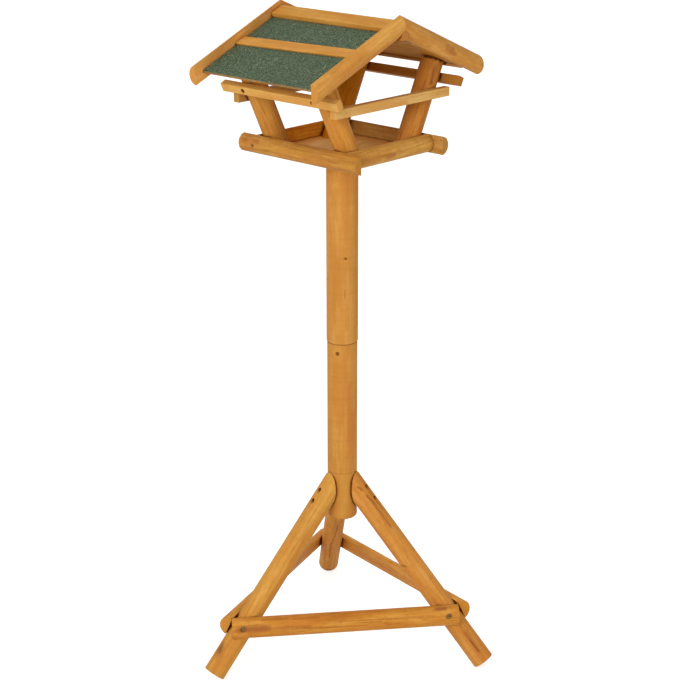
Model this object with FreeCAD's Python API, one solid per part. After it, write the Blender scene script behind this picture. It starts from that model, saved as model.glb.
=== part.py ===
import FreeCAD, Part

import os
from math import cos, radians, sin, tan

# A bird table: a gabled feeding house on a round two-piece post and a tripod with half-round braces.
# Sizes are in millimetres. +Z is up, X runs across the gables and Y along the ridge.
# Left is -X and near is -Y. The origin is on the ground, on the axis of the post.

# Tripod
leg_diameter = 40.0
leg_tilt = 40.4  # degrees from the vertical
foot_radius = 287.8  # from the post's axis to the middle of each foot
foot_chamfer = 1.0
leg_seat_distance = 27.3  # from the post's axis to the upright cut at each leg's top
leg_top_ease = 1.6  # of the edge round that cut
leg_directions = {"leg_left": 168.4, "leg_right": 289.0, "leg_rear": 49.0}  # degrees from +X
# From the top of each leg's axis, down the leg
leg_screw_insets = {"leg_left": (16.5, 39.8), "leg_right": (13.3, 39.3), "leg_rear": (15.0, 41.0)}

# Braces, of half-round stock, flat on the legs
brace_width = 38.0
brace_thickness = 18.5
front_brace_overhangs = (21.0, 13.6)  # beyond the axes of the two legs that a brace joins
rear_left_brace_overhangs = (20.9, 13.9)
rear_right_brace_overhangs = (15.0, 16.5)
brace_gap = 0.5  # round the front brace, where the rear left one is cut back from it
front_brace_heights = (88.3, 94.0)  # where the middle line crosses the axes of the two legs
rear_left_brace_heights = (87.7, 81.7)
rear_right_brace_heights = (94.2, 74.8)

# Hub and post
hub_diameter = 55.0
hub_height = 93.5
hub_edge_radius = 5.0
hub_above_legs = 0.6
lower_post_diameter = 55.0
lower_post_length = 251.8
upper_post_diameter = 57.0
upper_post_length = 346.9
post_edge_radius = 3.5
seam_ease = 0.6
hub_dowel_diameter = 16.0
hub_dowel_length = 48.0
post_dowel_diameter = 25.0
post_dowel_length = 100.0
dowel_clearance = 0.15
dowel_end_clearance = 0.5
joint_pin_diameter = 7.0
joint_pin_length = 26.0
joint_pin_drop = 16.5  # below the joint of the two posts
joint_pin_direction = 204.6  # degrees from +X

# Tray
tray_inner_width = 208.2
tray_inner_depth = 210.0
floor_thickness = 6.0
half_round_width = 32.5  # one stock for the tray's rails and the barge boards
half_round_thickness = 14.5
side_rail_overhang = 19.5  # beyond the round side of a cross rail
side_bar_shift = -2.0  # of the side rails and side perches, along Y
floor_screw_spacing = 30.0
rail_nail_inset = 3.0  # from the flat of the near rail
rail_screw_inset = -1.8  # from the flat of the far rail
rail_screw_skew = 17.0  # degrees, out towards the middle of the far rail's end

# Corner posts
corner_post_diameter = 40.0
corner_post_lean = 25.5  # degrees outwards from the vertical
corner_post_rail_gap = 0.3  # from a cross rail's flat
corner_post_side_gap = 1.4  # from a side rail's flat, at the rail's top

# Perches
perch_height = 16.0
perch_thickness = 13.0
perch_ease = 0.8
perch_seat_depth = 0.4  # of the flats on the corner posts
side_perch_rise = 141.0  # along a corner post, from the tray's floor
side_perch_overhang = 31.3
cross_perch_rise = 96.4
cross_perch_overhang = 7.9
cross_perch_shifts = {"near": 4.0, "far": -2.4}  # along X

# Roof
ridge_rise = 226.75  # from the tray's floor to the felt at the ridge
roof_pitch = 23.4
roof_shift_x = -4.0  # of the whole roof from the tray's middle
roof_shift_y = 5.0
gable_overhang = 33.3  # from the corner posts to the flats of the barge boards
panel_thickness = 4.0
lining_thickness = 6.5  # of the boards under the panels, between the cleats
lining_gap = 0.5
felt_thickness = 1.5
eave_overhang = 17.0  # beyond the eave batten
barge_rise = 17.1  # of a barge board's top edge above the felt
barge_overhangs = {"near": 15.3, "far": 13.5}  # of its top edge beyond the eave
barge_end_angle = 19.0
near_left_lift = 0.9  # degrees by which that barge board is flatter than its slope
ridge_slat_reach = 24.0
ridge_slat_thickness = 9.0
batten_width = 23.0
batten_thickness = 4.0
batten_distance = 102.5  # from the ridge to the middle of the batten
left_batten_skew = 2.2  # degrees
strip_ease = 0.8
ridge_beam_width = 16.0
ridge_beam_height = 16.0
ridge_beam_reach = 13.0  # past the flats of the barge boards, which are cut out over it
ridge_beam_clearance = 0.15
eave_batten_width = 5.0
eave_batten_depth = 11.5
eave_batten_gap = 0.5  # from the corner posts
cleat_width = 16.0
cleat_depth = 9.5
cleat_gap = 0.5  # from the ridge beam
cleat_stop = 15.0  # short of the eave batten

# Screws and nails
large_head_diameter = 8.4
large_shank_diameter = 4.5
small_head_diameter = 6.6
small_shank_diameter = 3.5
nail_head_diameter = 2.4
nail_shank_diameter = 1.6
nail_head_thickness = 0.8
nail_length = 34.0
nail_sink = 0.05  # of the nails in a rail's round side
screw_clearance = 0.1
screw_tip_length = 4.0
screw_tip_clearance = 0.4
hole_reach = 3.0  # head diameters, outwards from a sunk head
recess_width = 1.1
recess_share = 0.6  # of the head's diameter
recess_depth = 1.5
leg_screw_sink = 5.5
leg_screw_tip_distance = 8.0  # from the post's axis
brace_screw_sink = 1.0
brace_screw_length = 33.0
front_screw_shift = 5.8  # of the front brace's screw on the right leg, towards the left one
rail_screw_sink = 1.5
rail_screw_length = 38.0
perch_screw_sink = 3.0
perch_screw_length = 32.0
perch_screw_shifts = {"near": 3.5, "far": -2.5}  # from the middle of a corner post, along Y
floor_screw_sink = 0.4  # of the screws in the tray's floor and the cleats
corner_screw_length = 30.0
floor_screw_length = 40.0
cleat_screw_bite = 7.0  # into a barge board
cleat_screw_share = 0.25  # of the cleat's length, from each of its ends

# Sizes that follow from those above
leg_radius = leg_diameter / 2
foot_height = (leg_radius - foot_chamfer) * sin(radians(leg_tilt))
leg_axis_length = (foot_radius - leg_seat_distance) / sin(radians(leg_tilt))
leg_seat_height = foot_height + leg_axis_length * cos(radians(leg_tilt))
leg_face_half_height = leg_radius / sin(radians(leg_tilt))
hub_top = leg_seat_height + leg_face_half_height + hub_above_legs
joint_height = hub_top + lower_post_length
tray_bottom = joint_height + upper_post_length
floor_top = tray_bottom + floor_thickness
rail_middle = tray_bottom + half_round_width / 2
corner_radius = corner_post_diameter / 2
corner_reach = corner_radius / cos(radians(corner_post_lean))
corner_x = (
    tray_inner_width / 2
    - corner_post_side_gap
    - corner_reach
    - (half_round_width - floor_thickness) * tan(radians(corner_post_lean))
)
corner_y = tray_inner_depth / 2 - corner_post_rail_gap - corner_radius
perch_offset = corner_radius - perch_seat_depth + perch_thickness / 2
ridge_height = floor_top + ridge_rise
roof_half_depth = corner_y + corner_radius + gable_overhang
under_panel = -(felt_thickness + panel_thickness)
under_lining = under_panel - lining_thickness
beyond = 5000.0  # further than any piece reaches
tolerance = 0.001

X = FreeCAD.Vector(1, 0, 0)
Y = FreeCAD.Vector(0, 1, 0)
Z = FreeCAD.Vector(0, 0, 1)
O = FreeCAD.Vector(0, 0, 0)
SIDES = {"left": -1, "right": 1}
ENDS = {"near": -1, "far": 1}


def heading(degrees):
    """The level direction at an angle from +X."""
    return X * cos(radians(degrees)) + Y * sin(radians(degrees))


def placed(shape, origin, x_dir, z_dir):
    """A shape made about the origin, with its own X and Z turned along x_dir and z_dir."""
    turn = FreeCAD.Rotation(x_dir, z_dir.cross(x_dir), z_dir, "ZXY")
    moved = shape.copy()
    moved.Placement = FreeCAD.Placement(origin, turn).multiply(shape.Placement)
    return moved


def shifted(shape, offset):
    moved = shape.copy()
    moved.translate(offset)
    return moved


def trimmed(shape, point, outward):
    """What is left of a shape when all beyond a plane is cut away."""
    block = Part.makeBox(beyond, beyond, beyond, FreeCAD.Vector(-beyond / 2, -beyond / 2, 0))
    block.Placement = FreeCAD.Placement(point, FreeCAD.Rotation(Z, outward))
    return shape.cut(block)


def rod(diameter, start, along, length):
    return Part.makeCylinder(diameter / 2, length, start, along)


def centred_box(length, width, height):
    corner = FreeCAD.Vector(-length / 2, -width / 2, -height / 2)
    return Part.makeBox(length, width, height, corner)


def half_round_bar(width, thickness, length):
    """A bar along X about the origin, its flat on Z = 0 and its round side up."""
    low = FreeCAD.Vector(-length / 2, -width / 2, 0)
    high = FreeCAD.Vector(-length / 2, width / 2, 0)
    crown = FreeCAD.Vector(-length / 2, 0, thickness)
    edges = [Part.makeLine(low, high), Part.Arc(high, crown, low).toShape()]
    return Part.Face(Part.Wire(edges)).extrude(X * length)


def turned_profile(points):
    """A solid turned about Z from (radius, height) points."""
    corners = [FreeCAD.Vector(radius, 0, height) for radius, height in points]
    outline = Part.makePolygon(corners + corners[:1])
    return Part.Face(outline).revolve(O, Z, 360)


def side_direction(along):
    """A direction square to the given one, as level as it can be."""
    level = along.cross(Z)
    return level.normalize() if level.Length > tolerance else X


def screw(head_diameter, shank_diameter, length, head, inward):
    """A countersunk cross-head screw, its head's middle at a point."""
    head_radius = head_diameter / 2
    shank_radius = shank_diameter / 2
    neck = shank_radius - head_radius
    body = turned_profile([
        (0, 0),
        (head_radius, 0),
        (shank_radius, neck),
        (shank_radius, screw_tip_length - length),
        (0, -length),
    ])
    slot_length = head_diameter * recess_share
    for slot in (
        centred_box(slot_length, recess_width, 2 * recess_depth),
        centred_box(recess_width, slot_length, 2 * recess_depth),
    ):
        body = body.cut(slot)
    return placed(body, head, side_direction(inward), inward * -1)


def screw_hole(head_diameter, shank_diameter, length, head, inward):
    """The countersunk bore for such a screw, open outwards from its head."""
    head_radius = head_diameter / 2 + screw_clearance
    shank_radius = shank_diameter / 2 + screw_clearance
    neck = shank_radius - head_radius - screw_clearance
    body = turned_profile([
        (0, head_diameter * hole_reach),
        (head_radius, head_diameter * hole_reach),
        (head_radius, -screw_clearance),
        (shank_radius, neck),
        (shank_radius, screw_tip_length - length - screw_tip_clearance),
        (0, -length - screw_tip_clearance),
    ])
    return placed(body, head, side_direction(inward), inward * -1)


def nail(head, inward, clearance):
    """A flat-headed nail, or with a clearance the bore for it."""
    head_radius = nail_head_diameter / 2 + clearance
    shank_radius = nail_shank_diameter / 2 + clearance
    body = turned_profile([
        (0, clearance),
        (head_radius, clearance),
        (head_radius, -nail_head_thickness - clearance),
        (shank_radius, -nail_head_thickness - clearance),
        (shank_radius, -nail_length - clearance),
        (0, -nail_length - clearance),
    ])
    return placed(body, head, side_direction(inward), inward * -1)


def drill(pieces, names, hole):
    for name in names:
        pieces[name] = pieces[name].cut(hole)


def fasten(pieces, node, head_diameter, shank_diameter, places):
    """Adds one node of screws, and their bores in the pieces that they hold.

    Each place is the head's middle, the way in, the screw's length, and the pieces that it passes through.
    """
    screws = []
    for head, inward, length, through in places:
        screws.append(screw(head_diameter, shank_diameter, length, head, inward))
        drill(pieces, through, screw_hole(head_diameter, shank_diameter, length, head, inward))
    pieces[node] = Part.makeCompound(screws)


def leg_line(name):
    """The foot's middle, the way up the leg's axis, and the level way out from the post."""
    out = heading(leg_directions[name])
    up_leg = Z * cos(radians(leg_tilt)) - out * sin(radians(leg_tilt))
    return out * foot_radius + Z * foot_height, up_leg, out


def make_leg(name):
    foot, up_leg, out = leg_line(name)
    round_leg = rod(leg_diameter, foot, up_leg, leg_axis_length + leg_diameter)
    foot_ring = [edge for edge in round_leg.Edges if (edge.CenterOfMass - foot).Length < tolerance]
    round_leg = round_leg.makeChamfer(foot_chamfer, foot_ring)
    leg = trimmed(round_leg, out * leg_seat_distance, out * -1)
    seat = [edge for edge in leg.Edges if abs(edge.CenterOfMass.dot(out) - leg_seat_distance) < tolerance]
    return leg.makeChamfer(leg_top_ease, seat)


def brace_points(first, second, heights):
    """Where a brace's middle line crosses two legs' axes, and the way that its round side faces."""
    crossings = []
    for name, height in zip((first, second), heights):
        foot, up_leg, _ = leg_line(name)
        crossings.append(foot + up_leg * ((height - foot.z) / up_leg.z))
    out = leg_line(first)[1].cross(leg_line(second)[1]).normalize()
    if out.dot(crossings[0]) < 0:
        out = out * -1
    return crossings, out


def make_brace(first, second, heights, overhangs, gap=0.0):
    """A brace on two legs, or with a gap the room to leave for it."""
    crossings, out = brace_points(first, second, heights)
    along = (crossings[1] - crossings[0]).normalize()
    start = crossings[0] - along * (overhangs[0] + gap)
    end = crossings[1] + along * (overhangs[1] + gap)
    middle = (start + end) * 0.5 + out * (leg_radius - gap)
    bar = half_round_bar(brace_width + 2 * gap, brace_thickness + 2 * gap, (end - start).Length)
    return placed(bar, middle, along, out)


BRACES = {
    "brace_front": ("leg_left", "leg_right", front_brace_heights, front_brace_overhangs),
    "brace_rear_left": ("leg_left", "leg_rear", rear_left_brace_heights, rear_left_brace_overhangs),
    "brace_rear_right": ("leg_right", "leg_rear", rear_right_brace_heights, rear_right_brace_overhangs),
}


def make_tripod(pieces):
    for name in leg_directions:
        pieces[name] = make_leg(name)
    for name, sizes in BRACES.items():
        pieces[name] = make_brace(*sizes)
    drill(pieces, ("brace_rear_left",), make_brace(*BRACES["brace_front"], brace_gap))


def post_piece(diameter, bottom, length, bottom_radius, top_ease):
    """A round upright with its lower edge rounded and its upper edge eased."""
    body = rod(diameter, Z * bottom, Z, length)
    low = [edge for edge in body.Edges if (edge.CenterOfMass - Z * bottom).Length < tolerance]
    body = body.makeFillet(bottom_radius, low)
    high = [edge for edge in body.Edges if (edge.CenterOfMass - Z * (bottom + length)).Length < tolerance]
    return body.makeChamfer(top_ease, high)


def make_post(pieces):
    hub = post_piece(hub_diameter, hub_top - hub_height, hub_height, hub_edge_radius, seam_ease)
    # Behind each leg's top the hub has a shallow flat, which starts below the leg's cut face.
    shoulder = (hub_diameter / 2 - leg_seat_distance) / tan(radians(leg_tilt))
    flat_bottom = leg_seat_height - leg_face_half_height - shoulder - seam_ease
    for direction in leg_directions.values():
        out = heading(direction)
        block = centred_box(hub_diameter, hub_diameter, 2 * hub_height)
        middle = out * (leg_seat_distance + hub_diameter / 2) + Z * (flat_bottom + hub_height)
        hub = hub.cut(placed(block, middle, out, Z))
    lower = post_piece(lower_post_diameter, hub_top, lower_post_length, seam_ease, seam_ease)
    upper = post_piece(upper_post_diameter, joint_height, upper_post_length, post_edge_radius, seam_ease)
    pieces["hub_block"] = hub
    pieces["lower_post"] = lower
    pieces["upper_post"] = upper
    posts = ("hub_block", "lower_post", "upper_post")
    add_dowel(pieces, "hub_dowel", posts[:2], hub_top, hub_dowel_diameter, hub_dowel_length)
    add_dowel(pieces, "post_dowel", posts[1:], joint_height, post_dowel_diameter, post_dowel_length)
    # A wooden pin through the lower post's wall locks the dowel.
    out = heading(joint_pin_direction)
    surface = out * (lower_post_diameter / 2) + Z * (joint_height - joint_pin_drop)
    pin = rod(joint_pin_diameter, surface, out * -1, joint_pin_length)
    mouth = surface + out * dowel_clearance
    bore_diameter = joint_pin_diameter + 2 * dowel_clearance
    bore = rod(bore_diameter, mouth, out * -1, joint_pin_length + 2 * dowel_clearance)
    drill(pieces, ("lower_post", "post_dowel"), bore)
    pieces["joint_pin"] = pin


def add_dowel(pieces, node, joined, height, diameter, length):
    """A dowel that stands on the bottom of its bore, half in each of two posts."""
    bottom = Z * (height - length / 2)
    bore = rod(diameter + 2 * dowel_clearance, bottom, Z, length + dowel_end_clearance)
    drill(pieces, joined, bore)
    pieces[node] = rod(diameter, bottom, Z, length)


def make_tray(pieces):
    corner = FreeCAD.Vector(-tray_inner_width / 2, -tray_inner_depth / 2, tray_bottom)
    pieces["tray_floor"] = Part.makeBox(tray_inner_width, tray_inner_depth, floor_thickness, corner)
    cross_rail = half_round_bar(half_round_width, half_round_thickness, tray_inner_width)
    for end, way in ENDS.items():
        middle = Y * (way * tray_inner_depth / 2) + Z * rail_middle
        pieces["tray_rail_" + end] = placed(cross_rail, middle, X, Y * way)
    side_length = tray_inner_depth + 2 * (half_round_thickness + side_rail_overhang)
    side_rail = half_round_bar(half_round_width, half_round_thickness, side_length)
    for side, way in SIDES.items():
        middle = X * (way * tray_inner_width / 2) + Y * side_bar_shift + Z * rail_middle
        pieces["tray_rail_" + side] = placed(side_rail, middle, Y, X * way)


def corner_line(side_way, end_way):
    """The foot of a corner post's axis on the floor, and the way up the axis."""
    foot = FreeCAD.Vector(side_way * corner_x, end_way * corner_y, floor_top)
    up_post = X * (side_way * sin(radians(corner_post_lean))) + Z * cos(radians(corner_post_lean))
    return foot, up_post


def slope_point(side_way, distance, height, along_ridge=0.0):
    """A point on a roof slope: down the slope from the ridge, square above the felt, and along the ridge."""
    pitch = radians(roof_pitch)
    across = distance * cos(pitch) + height * sin(pitch)
    rise = height * cos(pitch) - distance * sin(pitch)
    ridge = FreeCAD.Vector(roof_shift_x, roof_shift_y, ridge_height)
    return ridge + X * (side_way * across) + Y * along_ridge + Z * rise


def slope_normal(side_way):
    return X * (side_way * sin(radians(roof_pitch))) + Z * cos(radians(roof_pitch))


def slope_distance(side_way, point):
    """How far down the slope from the ridge a point lies."""
    ridge = slope_point(side_way, 0, 0)
    down = X * (side_way * cos(radians(roof_pitch))) - Z * sin(radians(roof_pitch))
    return (point - ridge).dot(down)


def post_top(side_way):
    """Where a corner post's axis meets the underside of the roof's lining."""
    foot, up_post = corner_line(side_way, 1)
    normal = slope_normal(side_way)
    length = (slope_point(side_way, 0, under_lining) - foot).dot(normal) / up_post.dot(normal)
    return foot + up_post * length


post_half_span = corner_radius / cos(radians(corner_post_lean - roof_pitch))  # down the slope
furthest_post = max(slope_distance(way, post_top(way)) for way in SIDES.values())
eave_batten_start = furthest_post + post_half_span + eave_batten_gap
eave_batten_end = eave_batten_start + eave_batten_width
slope_length = eave_batten_end + eave_overhang


def make_corner_posts(pieces):
    for side, side_way in SIDES.items():
        for end, end_way in ENDS.items():
            foot, up_post = corner_line(side_way, end_way)
            post = rod(corner_post_diameter, foot - up_post * corner_post_diameter, up_post, 2 * ridge_rise)
            post = trimmed(post, Z * floor_top, Z * -1)
            post = trimmed(post, slope_point(side_way, 0, under_lining), slope_normal(side_way))
            pieces[f"corner_post_{side}_{end}"] = post


def eased_bar(length, width, height):
    bar = centred_box(length, width, height)
    return bar.makeFillet(perch_ease, bar.Edges)


def side_perch_middle(side_way):
    foot, up_post = corner_line(side_way, 1)
    out = perch_out(side_way)
    middle = foot + up_post * side_perch_rise + out * perch_offset
    return FreeCAD.Vector(middle.x, side_bar_shift, middle.z)


def perch_out(side_way):
    """The way that a side perch faces, square to the leaning posts."""
    return X * (side_way * cos(radians(corner_post_lean))) - Z * sin(radians(corner_post_lean))


def make_perches(pieces):
    side_length = 2 * (corner_y + corner_radius + side_perch_overhang)
    for side, way in SIDES.items():
        middle = side_perch_middle(way)
        out = perch_out(way)
        bar = eased_bar(side_length, perch_height, perch_thickness)
        pieces["perch_" + side] = placed(bar, middle, Y, out)
        seat = placed(centred_box(side_length, perch_height, perch_thickness), middle, Y, out)
        drill(pieces, [f"corner_post_{side}_{end}" for end in ENDS], seat)
    reach_at_perch = corner_x + cross_perch_rise * tan(radians(corner_post_lean)) + corner_reach
    cross_length = 2 * (reach_at_perch + cross_perch_overhang)
    for end, way in ENDS.items():
        middle = Y * (way * (corner_y + perch_offset)) + Z * (floor_top + cross_perch_rise)
        middle = middle + X * cross_perch_shifts[end]
        bar = eased_bar(cross_length, perch_height, perch_thickness)
        pieces["perch_" + end] = placed(bar, middle, X, Y * way)
        seat = placed(centred_box(cross_length, perch_height, perch_thickness), middle, X, Y * way)
        drill(pieces, [f"corner_post_{side}_{end}" for side in SIDES], seat)


def slope_strip(side_way, start, end, low, high, ease=0.0):
    """A strip along the ridge's direction between the barge boards, its upper long edges eased."""
    upper = [(start, high), (end, high)]
    if ease:
        upper = [(start, high - ease), (start + ease, high), (end - ease, high), (end, high - ease)]
    section = [(start, low), *upper, (end, low)]
    corners = [slope_point(side_way, distance, height, -roof_half_depth) for distance, height in section]
    return Part.Face(Part.makePolygon(corners + corners[:1])).extrude(Y * (2 * roof_half_depth))


def to_ridge(shape, side_way):
    """The part of a shape on its own side of the upright plane through the ridge."""
    return trimmed(shape, X * roof_shift_x, X * -side_way)


def make_roof_covering(pieces):
    overlap = half_round_width  # past the ridge, before the cut there
    for side, way in SIDES.items():
        panel = slope_strip(way, -overlap, slope_length, under_panel, -felt_thickness)
        felt = slope_strip(way, -overlap, slope_length, -felt_thickness, 0)
        slat = slope_strip(way, -overlap, ridge_slat_reach, 0, ridge_slat_thickness, strip_ease)
        pieces["roof_panel_" + side] = to_ridge(panel, way)
        pieces["roof_felt_" + side] = to_ridge(felt, way)
        pieces["ridge_slat_" + side] = to_ridge(slat, way)
        pieces["roof_batten_" + side] = make_batten(way, left_batten_skew if side == "left" else 0.0)


def make_batten(side_way, skew):
    """The batten across the middle of a slope, cut to the barge boards after it is skewed."""
    middle = slope_point(side_way, batten_distance, 0)
    bar = centred_box(3 * roof_half_depth, batten_width, 2 * batten_thickness)
    long_edges = [edge for edge in bar.Edges if edge.Length > roof_half_depth and edge.CenterOfMass.z > 0]
    bar = bar.makeChamfer(strip_ease, long_edges)
    bar = trimmed(bar, O, Z * -1)
    bar.rotate(O, Z, skew)
    bar = placed(bar, middle, Y, slope_normal(side_way))
    for way in ENDS.values():
        bar = trimmed(bar, Y * (roof_shift_y + way * roof_half_depth), Y * way)
    return bar


def make_barge_board(side_way, end_way):
    """A half-round board up the gable, mitred at the ridge, flat to the roof, with a slanted lower end."""
    pitch = radians(roof_pitch)
    down = X * (side_way * cos(pitch)) - Z * sin(pitch)
    end = "near" if end_way < 0 else "far"
    top_end = slope_length + barge_overhangs[end]
    middle_height = barge_rise - half_round_width / 2
    length = 2 * (top_end + half_round_width)
    bar = half_round_bar(half_round_width, half_round_thickness, length)
    gable = end_way * roof_half_depth
    board = placed(bar, slope_point(side_way, 0, middle_height, gable), down, Y * end_way)
    cut_angle = radians(barge_end_angle)
    cut_normal = down * cos(cut_angle) + slope_normal(side_way) * sin(cut_angle)
    board = trimmed(board, slope_point(side_way, top_end, barge_rise), cut_normal)
    if (side_way, end_way) == (-1, -1):
        board.rotate(slope_point(side_way, 0, 0, gable), Y, near_left_lift)
    return to_ridge(board, side_way)


def make_roof_frame(pieces):
    for side, side_way in SIDES.items():
        for end, end_way in ENDS.items():
            pieces[f"barge_board_{side}_{end}"] = make_barge_board(side_way, end_way)
            pieces[f"gable_cleat_{side}_{end}"] = make_cleat(side_way, end_way)
        low = under_panel - eave_batten_depth
        pieces["eave_batten_" + side] = slope_strip(
            side_way, eave_batten_start, eave_batten_end, low, under_panel
        )
        pieces["roof_lining_" + side] = make_lining(side_way)
    pieces["ridge_beam"] = make_ridge_beam(0.0)
    barge_boards = [name for name in pieces if name.startswith("barge_board")]
    drill(pieces, barge_boards, make_ridge_beam(ridge_beam_clearance))


def make_ridge_beam(clearance):
    """The beam under the ridge, or with a clearance the cut-out for its ends."""
    width = ridge_beam_width + 2 * clearance
    half_length = roof_half_depth + ridge_beam_reach + clearance
    beam = centred_box(width, 2 * half_length, 2 * (ridge_beam_height + clearance))
    under_ridge = slope_point(1, 0, 0) + Z * (under_panel / cos(radians(roof_pitch)))
    beam = shifted(beam, under_ridge)
    for way in SIDES.values():
        beam = trimmed(beam, under_ridge + Z * clearance, slope_normal(way))
    return beam


def make_lining(side_way):
    """A board under a roof panel, from the ridge beam to the eave batten and between the cleats."""
    start, _ = cleat_span()
    board = slope_strip(side_way, start, eave_batten_start - lining_gap, under_lining, under_panel)
    for way in ENDS.values():
        inner = roof_half_depth - cleat_width - lining_gap
        board = trimmed(board, Y * (roof_shift_y + way * inner), Y * way)
    return board


def cleat_span():
    """From the ridge beam to short of the eave batten, down the slope."""
    clear_of_beam = ridge_beam_width / 2 + cleat_gap - (under_panel - cleat_depth) * sin(radians(roof_pitch))
    return clear_of_beam / cos(radians(roof_pitch)), eave_batten_start - cleat_stop


def make_cleat(side_way, end_way):
    start, end = cleat_span()
    strip = slope_strip(side_way, start, end, under_panel - cleat_depth, under_panel)
    inner = Y * (roof_shift_y + end_way * (roof_half_depth - cleat_width))
    return trimmed(strip, inner, Y * -end_way)


def leg_screw_places():
    """Level screws through the legs' tops, each as long as it takes to end near the post's axis."""
    places = []
    for name in leg_directions:
        foot, up_leg, out = leg_line(name)
        outer = out * cos(radians(leg_tilt)) + Z * sin(radians(leg_tilt))
        for inset in leg_screw_insets[name]:
            surface = foot + up_leg * (leg_axis_length - inset) + outer * leg_radius
            head = surface - out * leg_screw_sink
            length = head.dot(out) - leg_screw_tip_distance
            places.append((head, out * -1, length, (name, "hub_block")))
    return places


def brace_screw_places():
    places = []
    for brace, (first, second, heights, _) in BRACES.items():
        crossings, out = brace_points(first, second, heights)
        for leg, crossing in zip((first, second), crossings):
            head = crossing + out * (leg_radius + brace_thickness - brace_screw_sink)
            if (brace, leg) == ("brace_front", "leg_right"):
                head = head - (crossings[1] - crossings[0]).normalize() * front_screw_shift
            places.append((head, out * -1, brace_screw_length, (brace, leg)))
    return places


def rail_fixing(side_way, end_way, inset, sink):
    """A place on a side rail's round side, by the end of a cross rail."""
    across = side_way * (tray_inner_width / 2 + half_round_thickness - sink)
    along = end_way * (tray_inner_depth / 2 + inset)
    return FreeCAD.Vector(across, along, rail_middle)


def rail_screw_places():
    """Skewed screws through the side rails into the ends of the far rail."""
    skew = radians(rail_screw_skew)
    places = []
    for side, way in SIDES.items():
        head = rail_fixing(way, 1, rail_screw_inset, rail_screw_sink)
        inward = X * (-way * cos(skew)) + Y * sin(skew)
        places.append((head, inward, rail_screw_length, ("tray_rail_" + side, "tray_rail_far")))
    return places


def floor_screw_places():
    """Screws down through the tray's floor into the post."""
    places = []
    for way in ENDS.values():
        head = Y * (way * floor_screw_spacing / 2) + Z * (floor_top - floor_screw_sink)
        places.append((head, Z * -1, floor_screw_length, ("tray_floor", "upper_post")))
    return places


def corner_screw_places():
    """Screws up through the tray's floor into the corner posts."""
    places = []
    for side, side_way in SIDES.items():
        for end, end_way in ENDS.items():
            foot, _ = corner_line(side_way, end_way)
            head = FreeCAD.Vector(foot.x, foot.y, tray_bottom + floor_screw_sink)
            places.append((head, Z, corner_screw_length, ("tray_floor", f"corner_post_{side}_{end}")))
    return places


def perch_screw_places():
    """Screws through the side perches into the corner posts."""
    places = []
    for side, side_way in SIDES.items():
        for end, end_way in ENDS.items():
            middle = side_perch_middle(side_way)
            out = perch_out(side_way)
            head = FreeCAD.Vector(middle.x, end_way * corner_y + perch_screw_shifts[end], middle.z)
            head = head + out * (perch_thickness / 2 - perch_screw_sink)
            through = ("perch_" + side, f"corner_post_{side}_{end}")
            places.append((head, out * -1, perch_screw_length, through))
    return places


def cleat_screw_places():
    """Screws through the cleats into the barge boards, driven from inside the gables."""
    start, end = cleat_span()
    length = cleat_width - floor_screw_sink + cleat_screw_bite
    places = []
    for side, side_way in SIDES.items():
        for gable, end_way in ENDS.items():
            for share in (cleat_screw_share, 1 - cleat_screw_share):
                distance = start + (end - start) * share
                inner = end_way * (roof_half_depth - cleat_width + floor_screw_sink)
                head = slope_point(side_way, distance, under_panel - cleat_depth / 2, inner)
                through = (f"gable_cleat_{side}_{gable}", f"barge_board_{side}_{gable}")
                places.append((head, Y * end_way, length, through))
    return places


def add_screws(pieces):
    large = (large_head_diameter, large_shank_diameter)
    small = (small_head_diameter, small_shank_diameter)
    fasten(pieces, "leg_screws", *large, leg_screw_places())
    fasten(pieces, "brace_screws", *large, brace_screw_places())
    fasten(pieces, "rail_screws", *small, rail_screw_places())
    fasten(pieces, "floor_screws", *small, floor_screw_places())
    fasten(pieces, "corner_post_screws", *small, corner_screw_places())
    fasten(pieces, "side_perch_screws", *large, perch_screw_places())
    fasten(pieces, "cleat_screws", *small, cleat_screw_places())


def nail_places():
    """Nails through the near and far perches, and through the side rails into the near rail."""
    places = []
    for side, side_way in SIDES.items():
        for end, end_way in ENDS.items():
            foot, up_post = corner_line(side_way, end_way)
            at_perch = foot + up_post * (cross_perch_rise / up_post.z)
            head = at_perch + Y * (end_way * (perch_offset + perch_thickness / 2))
            places.append((head, Y * -end_way, ("perch_" + end, f"corner_post_{side}_{end}")))
        head = rail_fixing(side_way, -1, rail_nail_inset, nail_sink)
        places.append((head, X * -side_way, ("tray_rail_" + side, "tray_rail_near")))
    return places


def add_nails(pieces):
    nails = []
    for head, inward, through in nail_places():
        nails.append(nail(head, inward, 0.0))
        drill(pieces, through, nail(head, inward, screw_clearance))
    pieces["perch_and_rail_nails"] = Part.makeCompound(nails)


def main():
    pieces = {}
    make_tripod(pieces)
    make_post(pieces)
    make_tray(pieces)
    make_corner_posts(pieces)
    make_perches(pieces)
    make_roof_covering(pieces)
    make_roof_frame(pieces)
    add_screws(pieces)
    add_nails(pieces)
    os.makedirs("parts", exist_ok=True)
    for name, shape in pieces.items():
        shape.exportStep(f"parts/{name}.step")
        print(name, len(shape.Solids), shape.isValid(), round(shape.Volume))


main()
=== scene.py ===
import math
import random

import bpy
import numpy as np
from mathutils import Matrix, Vector

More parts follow.
